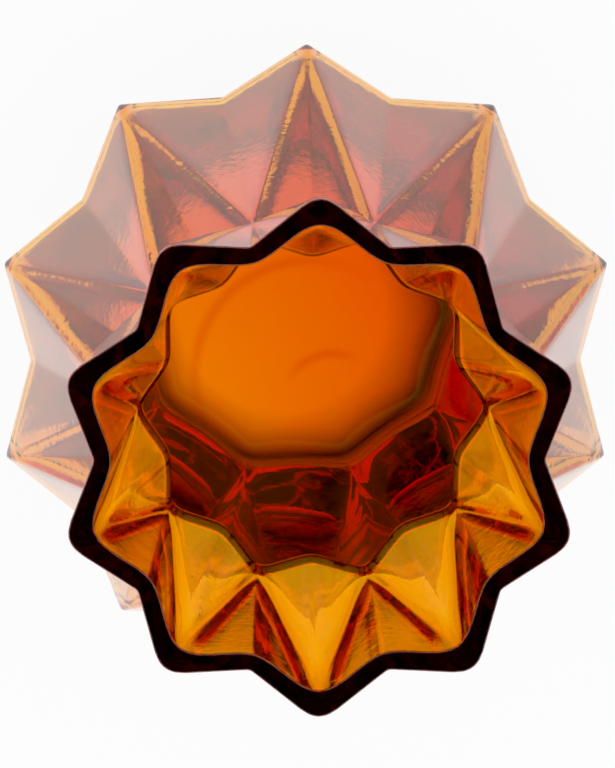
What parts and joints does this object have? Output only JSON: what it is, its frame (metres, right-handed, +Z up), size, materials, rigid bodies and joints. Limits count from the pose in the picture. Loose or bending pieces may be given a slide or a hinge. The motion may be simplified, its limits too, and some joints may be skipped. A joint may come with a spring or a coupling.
{
  "type": "hyacinth forcing vase",
  "caption": "Star-plan hyacinth forcing vase of amber glass: a flared bulb cup over a narrow neck and a faceted water reservoir.",
  "frame": {"origin": "centre of the resting face, on the vase's axis", "axes": "+Z up along the vase's axis; a point of the star faces -Y, the side that the picture shows beyond the rim"},
  "size_m": [0.1054, 0.1108, 0.17],
  "materials": {
    "amber_glass": "clear amber, fire-polished, ground on the rim"
  },
  "bodies": {
    "root": {"rim_lip": "amber_glass", "bulb_cup": "amber_glass", "neck": "amber_glass", "shoulder": "amber_glass", "lower_body": "amber_glass", "base": "amber_glass"}
  },
  "joints": []
}
